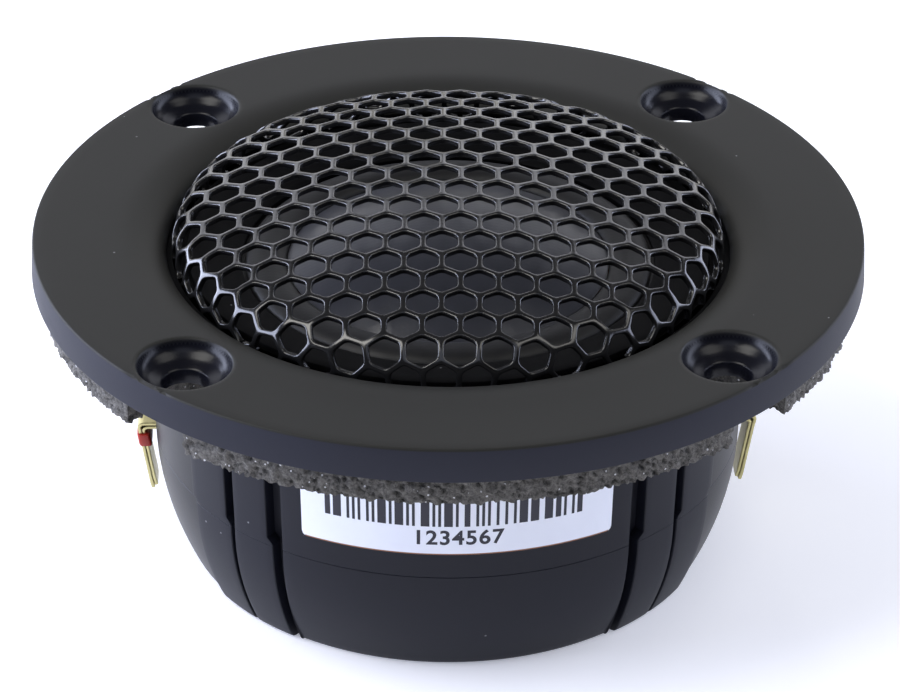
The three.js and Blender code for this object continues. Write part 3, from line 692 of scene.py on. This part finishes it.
lead_steps = 24
bare_copper = metal("bare_copper_braid", "#C98A5E", "#8F5836", 0.35, 0.1)
for side, place in ((-1, "left"), (1, "right")):
    low, high = node_range(f"coil_lead_{place}")
    near = min(abs(low.x), abs(high.x)) + 0.05
    far = max(abs(low.x), abs(high.x)) - 0.05
    base = low.z + 0.2
    lead_path = []
    for i in range(lead_steps + 1):
        t = i / lead_steps
        rise = 0.25 * math.sin(math.pi * min(1, t * 1.35)) ** 2 + 0.1 * (1 - t) * (t < 0.3)
        lead_path.append((side * (near + (far - near) * t), 0.04 * math.sin(20 * t), base + rise))
    lead = make_piece(f"coil_lead_braid_{place}", strand_tube(lead_path, 0.19), bare_copper, None,
                      [f"coil_lead_{place}"])
    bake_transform(lead, "diaphragm", "housing", start=(side * near / 1000, 0, 0), end=(side * far / 1000, 0, 0))


# Chassis and rear cup: two mouldings in the same ABS that meet at the seam. A matt front panel stands
# proud of glossier side walls, and two slots each side of it narrow at the seam and run to the back.
seam_radius = 26.35
chassis_flare = 0.6
cup_inset = 2.7
slot_depth = 1.1
panel_proud = 0.4
upper_slots = {"wide": (33.9, 37.3), "narrow": (45.35, 47.6), "panel": 58.2}
lower_slots = {"wide": (33.9, 36.05), "narrow": (45.4, 46.3), "panel": 57.0}


def half_columns(slots, centre_dip):
    """Angle from the panel's middle, and depth, of each upright line on half of one panel."""
    columns = [(a, centre_dip) for a in np.linspace(0, slots["wide"][0] - 0.5, 20)[1:]]
    columns.append((slots["wide"][0] - 0.12, centre_dip + 0.02))
    wall = 0.1
    for name in ("wide", "narrow"):
        start, end = slots[name]
        columns += [(start, 0.1), (start + wall, slot_depth)]
        columns += [((start + end) / 2, slot_depth + 0.03)]
        columns += [(end - wall, slot_depth), (end, 0.1), (end + 0.12, 0.02)]
        if name == "wide":
            columns += [(a, 0.0) for a in np.linspace(end + 0.35, slots["narrow"][0] - 0.35, 7)]
            columns.append((slots["narrow"][0] - 0.12, 0.02))
        else:
            columns += [(a, 0.0) for a in np.linspace(end + 0.35, slots["panel"] - 0.6, 8)]
    edge = slots["panel"]
    columns += [(edge - 0.2, 0.03), (edge, 0.12), (edge + 0.15, 0.28), (edge + 0.45, panel_proud)]
    columns += [(a, panel_proud) for a in np.linspace(edge + 1.5, 89, 20)]
    return columns


def body_loop(radius, height, slots, share=1.0, centre_dip=0.0):
    """One level line round the body; share scales the slots' and the step's depth."""
    half = half_columns(slots, centre_dip)
    loop = []
    for facing in (-90, 90):
        line = [(facing - a, d) for a, d in reversed(half)] + [(facing, centre_dip)]
        line += [(facing + a, d) for a, d in half]
        loop += [(math.radians(a), d) for a, d in line]
    spots = [(a, radius - d * share) for a, d in loop]
    return [(r * math.cos(a), r * math.sin(a), height) for a, r in spots]


def round_loop(radius, height, slots):
    """A plain circle with as many points as body_loop, at the same angles."""
    half = half_columns(slots, 0.0)
    loop = []
    for facing in (-90, 90):
        line = [facing - a for a, _ in reversed(half)] + [facing] + [facing + a for a, _ in half]
        loop += [math.radians(a) for a in line]
    return [(radius * math.cos(a), radius * math.sin(a), height) for a in loop]


def lofted(loops, closed_ends=False):
    """A skin through loops of the same number of points."""
    count = len(loops[0])
    points = [p for loop in loops for p in loop]
    faces = []
    for row in range(len(loops) - 1):
        for i in range(count):
            j = (i + 1) % count
            low, high = row * count, (row + 1) * count
            faces.append((low + i, low + j, high + j, high + i))
    if closed_ends:
        for row in (0, len(loops) - 1):
            x, y, z = np.mean(loops[row], axis=0)
            points.append((x, y, z))
            tip = len(points) - 1
            faces += [(tip, row * count + i, row * count + (i + 1) % count) for i in range(count)]
    return points, faces


def between(lower, upper, t):
    """Slot angles part of the way from the lower set to the upper one."""
    mixed = {}
    for name in ("wide", "narrow"):
        mixed[name] = tuple(a + (b - a) * t for a, b in zip(lower[name], upper[name]))
    mixed["panel"] = lower["panel"] + (upper["panel"] - lower["panel"]) * t
    return mixed


def chassis_radius(height):
    return seam_radius + chassis_flare * (height - seam) / (flange_top - flange_thickness - seam)


seam_trim = 0.025
chassis_bore = 24.55
shelf_high, shelf_low, shelf_bore = 24.5, 22.5, 19.3
chassis_loops = []
for height, t in ((seam + 0.02, 0.0), (seam + 0.06, 0.0), (seam + 0.3, 0.12), (seam + 0.55, 0.55),
                  (seam + 0.75, 0.93), (seam + 0.9, 1.0), (15.5, 1.0), (19.5, 1.0), (23.5, 1.0),
                  (chassis_high.z, 1.0)):
    radius = chassis_radius(height) - (0.0 if chassis_loops else seam_trim)
    chassis_loops.append(body_loop(radius, height, between(lower_slots, upper_slots, t)))
for radius, height in ((chassis_bore, chassis_high.z), (chassis_bore, shelf_high),
                       (shelf_bore, shelf_high), (shelf_bore, shelf_low),
                       (chassis_bore, shelf_low - 0.6), (chassis_bore, seam + 0.02)):
    chassis_loops.append(round_loop(radius, height, upper_slots if height > 20 else lower_slots))
chassis_loops.append(chassis_loops[0])


def body_abs(name, light, dark, side_light, roughness, side_roughness):
    """The body's ABS: the panel is etched matt, the side walls keep the mould's polish."""
    material = satin_black_abs(name, light, dark, roughness)
    shader = material.node_tree.nodes["Principled BSDF"]
    side = add(material, "ShaderNodeAttribute", {}, attribute_name="side_wall").outputs["Fac"]
    panel_colour = shader.inputs["Base Color"].links[0].from_socket
    panel_rough = shader.inputs["Roughness"].links[0].from_socket
    colour = add(material, "ShaderNodeMix", {
        "Factor": side, "A": panel_colour, "B": srgb(side_light)}, data_type="RGBA")
    rough = add(material, "ShaderNodeMix", {"Factor": side, "A": panel_rough, "B": side_roughness})
    feed(material, shader, {"Base Color": colour.outputs["Result"], "Roughness": rough.outputs["Result"]})
    return material


def mark_side_walls(thing):
    """Marks the stretch outside the panels, for the shader."""
    mark = thing.data.attributes.new("side_wall", "FLOAT", "POINT")
    for vertex in thing.data.vertices:
        across = abs(math.degrees(math.atan2(vertex.co.x, abs(vertex.co.y))))
        mark.data[vertex.index].value = min(1.0, max(0.0, (across - 57.4) / 1.0))


chassis_abs = body_abs("black_abs_body", "#141621", "#10111A", "#0F1017", 0.48, 0.38)
chassis = make_piece("chassis_moulding", lofted(chassis_loops), chassis_abs, "housing",
                     ["chassis"], crease=30)
mark_side_walls(chassis)

cup_loops = []
cup_profile = [
    (0.0, -0.75, 0.35), (0.03, -0.42, 0.6), (0.12, -0.16, 0.9), (0.3, -0.04, 1.0), (0.55, 0.0, 1.0)]
cup_profile += [(h, 0.0, 1.0) for h in (1.1, 1.8, 2.7, 3.7, 4.8, 6.0, 7.3, 8.7, 10.0, seam - 0.03)]
cup_profile.append((seam, -seam_trim, 1.0))
cup_levels = []
for height, trim, share in cup_profile:
    drop = (seam - height) / seam
    radius = seam_radius - cup_inset * drop ** 2 + trim
    cup_levels.append(body_loop(radius, height, lower_slots, share, 0.3 * drop ** 2))
cup_levels.append(round_loop(chassis_bore, seam, lower_slots))
cup_levels.append(round_loop(22.9, 4.5, lower_slots))
cup_levels.append(round_loop(21.4, 2.0, lower_slots))
cup_levels.append(round_loop(6.0, 2.0, lower_slots))
cup_levels.insert(0, round_loop(12.0, 0.0, lower_slots))
cup_levels.insert(1, round_loop(22.6, 0.0, lower_slots))
rear_cup = make_piece("rear_cup_moulding", lofted(cup_levels, True), chassis_abs, "housing",
                      ["rear_cup"], crease=30)
mark_side_walls(rear_cup)


# Foam gasket: arcs die-cut from open-cell polyurethane sheet and stuck under the flange between the
# screws. Cut cells of about 0.6 mm leave ragged edges; the colour is painted darker in the cells as
# painted shade, and a few strut ends carry painted glints.
gasket_spans = {"right": 79.0, "rear": 75.0, "left": 79.0, "front": 79.0}
foam_top = chassis_high.z
foam_low = node_range("gasket_front")[0].z
foam_outer = 35.2
foam_inner = 27.3
foam_step = 0.24
cell_size = 0.62


def foam_arc(facing, span):
    """A dense box-section arc whose skin is eaten into cells."""
    around = int(math.radians(span) * foam_outer / foam_step)
    section = []
    tall = foam_top - foam_low
    for i in range(int(tall / foam_step) + 1):
        section.append((foam_outer, foam_top - i * foam_step))
    across = np.arange(foam_outer, foam_inner, -foam_step * 1.15)
    section += [(r, foam_low) for r in across]
    section += [(foam_inner, foam_low + tall * i / 3) for i in range(4)]
    section += [(r, foam_top) for r in np.linspace(foam_inner, foam_outer, 6)[1:-1]]
    points, faces = [], []
    count = len(section)
    for i in range(around + 1):
        angle = math.radians(facing - span / 2 + span * i / around)
        points += [(r * math.cos(angle), r * math.sin(angle), z) for r, z in section]
    for i in range(around):
        for k in range(count):
            n = (k + 1) % count
            faces.append((i * count + k, i * count + n, (i + 1) * count + n, (i + 1) * count + k))
    faces.append(tuple(range(count)))
    faces.append(tuple(around * count + k for k in reversed(range(count))))
    return points, faces


def eat_cells(thing):
    """Pushes the skin into the foam's cells and leaves struts standing; keeps the glued face flat."""
    mesh = thing.data
    # The strut mark is 1 on the struts and 0 in the cells; the foam's shader uses it to paint the cells darker,
    # as painted shade.
    strut = mesh.attributes.new("strut", "FLOAT", "POINT")
    co = np.array([v.co for v in mesh.vertices]) * 1000
    normals = np.array([v.normal for v in mesh.vertices])
    moved = co.copy()
    for i, (spot, normal) in enumerate(zip(co, normals)):
        distances, _ = noise.voronoi(Vector(spot / cell_size))
        wall = min(1.0, (distances[1] - distances[0]) * 1.6)
        lump = noise.noise(Vector(spot * 0.7))
        shred = noise.noise(Vector(spot * 3.1))
        push = 0.14 * lump + 0.22 * shred - 0.26 * wall + 0.08
        if spot[2] > foam_top - 0.05:
            push = 0.0
        moved[i] = spot + normal * push
        strut.data[i].value = 1 - wall
    moved[:, 2] = np.clip(moved[:, 2], foam_low - 0.12, foam_top)
    mesh.vertices.foreach_set("co", (moved / 1000).ravel())
    mesh.update()


def open_cell_foam():
    """Charcoal polyurethane with random tone: painted darker in the cells as painted shade, paler on the cut
    struts, and with painted glints on a few struts.
    """
    material, shader = new_material("charcoal_open_cell_foam")
    place = add(material, "ShaderNodeTexCoord", {}).outputs["Object"]
    strut = add(material, "ShaderNodeAttribute", {}, attribute_name="strut").outputs["Fac"]
    shreds = add(material, "ShaderNodeTexNoise", {
        "Vector": place, "Scale": 1000 / 0.32, "Detail": 4.0, "Roughness": 0.7, "Distortion": 1.2})
    uneven = add(material, "ShaderNodeMapRange", {
        "Value": shreds.outputs["Fac"], "From Min": 0.34, "From Max": 0.66})
    # Painted shade: the cells are coloured near black and the struts paler, mixed with random tone.
    both = add(material, "ShaderNodeMix", {"Factor": 0.55, "A": strut, "B": uneven.outputs["Result"]})
    ramp = add(material, "ShaderNodeMapRange", {
        "Value": both.outputs["Result"], "From Min": 0.25, "From Max": 0.85})
    colour = add(material, "ShaderNodeMix", {
        "Factor": ramp.outputs["Result"], "A": srgb("#12110F"), "B": srgb("#5E5B57")}, data_type="RGBA")
    # Painted glints: a few random spots on the foam are coloured pale grey.
    tips = add(material, "ShaderNodeTexVoronoi", {"Vector": place, "Scale": 1000 / 0.45})
    lot = add(material, "ShaderNodeSeparateColor", {"Color": tips.outputs["Color"]})
    few = add(material, "ShaderNodeMath", {0: lot.outputs["Green"], 1: 0.82}, operation="GREATER_THAN")
    near = add(material, "ShaderNodeMath", {0: tips.outputs["Distance"], 1: 0.2}, operation="LESS_THAN")
    painted_glint = add(material, "ShaderNodeMath", {0: few.outputs[0], 1: near.outputs[0]}, operation="MULTIPLY")
    colour_and_painted_glint = add(material, "ShaderNodeMix", {
        "Factor": painted_glint.outputs[0], "A": colour.outputs["Result"], "B": srgb("#B9B9BD")}, data_type="RGBA")
    rough = add(material, "ShaderNodeMapRange", {
        "Value": both.outputs["Result"], "To Min": 0.9, "To Max": 0.45})
    bump = add(material, "ShaderNodeBump", {
        "Strength": 0.9, "Distance": 0.00012, "Height": shreds.outputs["Fac"]})
    feed(material, shader, {
        "Base Color": colour_and_painted_glint.outputs["Result"], "Roughness": rough.outputs["Result"],
        "Normal": bump.outputs["Normal"]})
    return material


foam = open_cell_foam()
for place, facing in (("right", 0), ("rear", 90), ("left", 180), ("front", 270)):
    arc = make_piece(f"foam_gasket_{place}", foam_arc(facing, gasket_spans[place]), foam, "housing",
                     [f"gasket_{place}"], crease=70)
    eat_cells(arc)


# Serial label: white coated paper stuck round the front of the chassis, printed in dark blue with
# generic bars and digits. The die-cut edge shows the brown adhesive.
label_half = 29.2
label_low, label_high = 13.5, 23.8
label_corner = 0.5
label_lift = 0.04
label_paper = 0.12
glue_line = 0.13


def on_chassis(degrees, height, lift):
    angle = math.radians(degrees)
    radius = chassis_radius(height) + lift
    return radius * math.cos(angle), radius * math.sin(angle), height


def label_trim(away):
    """How far a label edge is cut back near its corner."""
    corner_angle = math.degrees(label_corner / seam_radius)
    inset = min(1.0, max(0.0, (corner_angle - (label_half - away)) / corner_angle))
    return label_corner * (1 - math.sqrt(1 - inset ** 2))


label_loops = []
label_angles = list(np.linspace(-label_half, -label_half + 1.2, 8)) + list(np.linspace(-27, 27, 37))
label_angles += list(np.linspace(label_half - 1.2, label_half, 8))
for away in label_angles:
    trim = label_trim(abs(away))
    low, high = label_low + trim, label_high - trim
    inner, outer = label_lift, label_lift + label_paper
    levels = [(low, inner), (low, outer - 0.03), (low + 0.03, outer), (low + glue_line, outer),
              (high - 0.03, outer), (high, outer - 0.03), (high, inner)]
    label_loops.append([on_chassis(-90 + away, h, lift) for h, lift in levels])

paper, paper_shader = new_material("coated_label_paper")
_, paper_pulp, paper_colour = clouded(paper, 500.0, 5.0, "#E2E6F3", "#E8ECF8")
paper_bump = add(paper, "ShaderNodeBump", {
    "Strength": 0.1, "Distance": 0.00002, "Height": paper_pulp})
feed(paper, paper_shader, {
    "Base Color": paper_colour, "Roughness": 0.45, "Normal": paper_bump.outputs["Normal"]})
adhesive, adhesive_shader = new_material("brown_label_adhesive")
feed(adhesive, adhesive_shader, {"Base Color": srgb("#8A5A3A"), "Roughness": 0.6})
label = make_piece("serial_label_paper", lofted(label_loops, True), paper, "housing",
                   ["serial_label"])
label.data.materials.append(adhesive)
for face in label.data.polygons:
    if face.center.z * 1000 < label_low + glue_line:
        face.material_index = 1

ink, ink_shader = new_material("dark_blue_print")
ink_colour = clouded(ink, 2500.0, 2.0, "#06071A", "#0B0D28")[2]
feed(ink, ink_shader, {"Base Color": ink_colour, "Roughness": 0.5})
ink_lift = label_lift + label_paper + 0.006
bars_low, bars_high = 16.4, 23.5
bars_half = 24.4
module = 0.52
draw = random.Random(7)
bar_points, bar_faces = [], []
angle = -bars_half
while angle < bars_half - 2:
    width = module * draw.choice((1, 1, 2, 3))
    start = len(bar_points)
    for away in (angle, angle + width):
        for h in (bars_low, bars_high):
            for lift in (ink_lift - 0.004, ink_lift):
                bar_points.append(on_chassis(-90 + away, h, lift))
    corners = [start + i for i in range(8)]
    for quad in ((0, 1, 3, 2), (4, 6, 7, 5), (0, 4, 5, 1), (2, 3, 7, 6), (0, 2, 6, 4), (1, 5, 7, 3)):
        bar_faces.append(tuple(corners[i] for i in quad))
    angle += width + module * draw.choice((1, 1, 2))
make_piece("label_bars", (bar_points, bar_faces), ink, "housing", weld=0.0005)

digits_height = 14.6
digits_data = bpy.data.curves.new("label_digits", "FONT")
digits_data.body = "1234567"
digits_data.size = 2.0
digits_data.offset = 0.045
digits_data.space_character = 1.1
digits_data.align_x = "CENTER"
digits_data.extrude = 0.002
digits_curve = bpy.data.objects.new("label_digits_curve", digits_data)
bpy.context.collection.objects.link(digits_curve)
bpy.context.view_layer.update()
depsgraph = bpy.context.evaluated_depsgraph_get()
flat_digits = bpy.data.meshes.new_from_object(digits_curve.evaluated_get(depsgraph))
digit_points = []
for vertex in flat_digits.vertices:
    height = digits_height + vertex.co.y
    away = math.degrees(vertex.co.x / chassis_radius(height))
    digit_points.append(on_chassis(-90 + away, height, ink_lift + vertex.co.z))
digit_faces = [tuple(face.vertices) for face in flat_digits.polygons]
bpy.data.objects.remove(digits_curve)
make_piece("label_digits", (digit_points, digit_faces), ink, "housing", weld=0.0002)


# Terminals: pale tinned brass, 0.33 mm, folded double. Each leaves through a notch at the seam and is
# bent down beside the rear cup. A red polythene sleeve marks the left one.
tab_low, tab_high = node_range("terminal_left")
tab_width = tab_high.y - tab_low.y
tab_thickness = 0.7
leaf = 0.31
tab_outside = abs(tab_low.x)
tab_top = tab_high.z
tab_bottom = tab_low.z
tab_lean = 1.1
tab_bend = 0.45
tab_inside = abs(tab_high.x)


def leaf_strip(line, width, thickness, tip_trim):
    """A flat strip of sheet that follows a line of (x, z) points, with its last corners cut."""
    loops = []
    for i, (x, z) in enumerate(line):
        before = Vector(line[max(i - 1, 0)])
        after = Vector(line[min(i + 1, len(line) - 1)])
        along = (after - before).normalized()
        across = Vector((-along.y, along.x)) * thickness / 2
        half = width / 2 - (tip_trim if i == len(line) - 1 else 0)
        soft = 0.05
        loops.append([
            (x - across.x, -half + soft, z - across.y), (x - across.x, half - soft, z - across.y),
            (x - across.x * 0.4, half, z - across.y * 0.4), (x + across.x * 0.4, half, z + across.y * 0.4),
            (x + across.x, half - soft, z + across.y), (x + across.x, -half + soft, z + across.y),
            (x + across.x * 0.4, -half, z + across.y * 0.4), (x - across.x * 0.4, -half, z - across.y * 0.4),
        ])
    return lofted(loops, True)


def tab_line(offset, length_cut):
    """The tab's path for one leaf, offset inward from its outer face."""
    top = tab_top - offset
    out = tab_outside - offset
    drop = top - (tab_bottom + length_cut)
    line = [(tab_inside, top), (tab_inside + 2, top), (out - tab_bend, top)]
    for step in range(1, 6):
        swing = math.radians(90 * step / 6)
        line.append((out - tab_bend + tab_bend * math.sin(swing), top - tab_bend * (1 - math.cos(swing))))
    for step in range(1, 9):
        fall = tab_bend + (drop - tab_bend) * step / 8
        line.append((out - tab_lean * fall / (tab_top - tab_bottom), top - fall))
    return line


brass = metal("pale_tinned_brass", "#D6CE9C", "#A79E6C", 0.32, 0.08, 0.1)
for side, place in ((-1, "left"), (1, "right")):
    outer_leaf = leaf_strip(tab_line(leaf / 2, 0.0), tab_width, leaf, 0.25)
    inner_leaf = leaf_strip(tab_line(tab_thickness - leaf / 2, 0.25), tab_width - 0.1, leaf, 0.25)
    points, faces = joined(outer_leaf, inner_leaf)
    points = [(side * x, side * y, z) for x, y, z in points]
    make_piece(f"terminal_tab_{place}", (points, faces), brass, "housing",
               [f"terminal_{place}"])

sleeve_low, sleeve_high = node_range("polarity_sleeve")
lean_top = tab_lean * (tab_top - sleeve_high.z) / (tab_top - tab_bottom)
lean_bottom = tab_lean * (tab_top - sleeve_low.z) / (tab_top - tab_bottom)
sleeve_across = sleeve_high.x - sleeve_low.x - (lean_bottom - lean_top)
sleeve_profile = (
    (0.0, -0.12), (0.03, -0.04), (0.14, 0.0), (0.5, 0.0), (0.86, 0.0), (0.97, -0.04), (1.0, -0.12))
squareness = 0.32
sleeve_rows = []
for share, grow in sleeve_profile:
    z = sleeve_high.z + (sleeve_low.z - sleeve_high.z) * share
    lean = tab_lean * (tab_top - z) / (tab_top - tab_bottom)
    outside = -(sleeve_low.x) - (lean - lean_top) + grow
    inside = outside - sleeve_across - 2 * grow
    half = sleeve_high.y + grow
    ring = []
    for k in range(32):
        swing = 2 * math.pi * k / 32
        c, s = math.cos(swing), math.sin(swing)
        x = (inside + outside) / 2 + (outside - inside) / 2 * math.copysign(abs(c) ** squareness, c)
        y = half * math.copysign(abs(s) ** squareness, s)
        ring.append((-x, y, z))
    sleeve_rows.append(ring)
red_poly, red_shader = new_material("red_polythene")
red_colour = clouded(red_poly, 900.0, 3.0, "#8E1E16", "#B32C20")[2]
feed(red_poly, red_shader, {
    "Base Color": red_colour, "Roughness": 0.4, "Subsurface Weight": 0.1,
    "Subsurface Scale": 0.0005})
make_piece("red_polarity_sleeve", lofted(sleeve_rows, True), red_poly, "housing",
           ["polarity_sleeve"])


# Inside pieces, which only show when the tweeter is taken apart: zinc-plated steel yoke and pole
# plate, nickel-plated magnet, copper cap, foil former, enamelled coil, felts, ring and hook-up wire.
def repaint(node, material):
    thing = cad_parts[node]
    thing.data.materials.clear()
    thing.data.materials.append(material)


def felt_cloth():
    """Pressed grey wool: matted fibres about 0.3 mm apart, with no gloss."""
    material, shader = new_material("pressed_grey_wool")
    place = add(material, "ShaderNodeTexCoord", {}).outputs["Object"]
    fibres = add(material, "ShaderNodeTexNoise", {
        "Vector": place, "Scale": 1000 / 0.3, "Detail": 6.0, "Distortion": 2.0})
    colour = add(material, "ShaderNodeMix", {
        "Factor": fibres.outputs["Fac"], "A": srgb("#57534B"), "B": srgb("#8A867C")}, data_type="RGBA")
    bump = add(material, "ShaderNodeBump", {
        "Strength": 0.7, "Distance": 0.0002, "Height": fibres.outputs["Fac"]})
    feed(material, shader, {
        "Base Color": colour.outputs["Result"], "Roughness": 0.95, "Sheen Weight": 0.3,
        "Normal": bump.outputs["Normal"]})
    return material


zinc_steel = metal("zinc_plated_turned_steel", "#B9BCC0", "#8E9196", 0.3, 0.15, 0.2)
repaint("yoke", zinc_steel)
repaint("pole_plate", zinc_steel)
repaint("magnet", metal("nickel_plated_magnet", "#C9CACB", "#A9AAAB", 0.15, 0.5, 0.03))
repaint("copper_cap", metal("drawn_copper", "#C47F55", "#96583A", 0.25, 0.2, 0.08))
repaint("voice_coil_former", metal("aluminium_foil", "#D3D5D7", "#B4B6B9", 0.3, 0.3, 0.04))
repaint("voice_coil", metal("enamelled_copper_wire", "#B3622F", "#7E3B1B", 0.3, 0.16, 0.6))
felt = felt_cloth()
repaint("pole_felt", felt)
repaint("chamber_felt", felt)
repaint("diaphragm_ring", satin_black_abs("black_abs_ring", "#1E1F22", "#191A1C", 0.6))
repaint("hookup_wire_left", red_poly)
repaint("hookup_wire_right", satin_black_abs("black_wire_insulation", "#1C1D20", "#151619", 0.4))
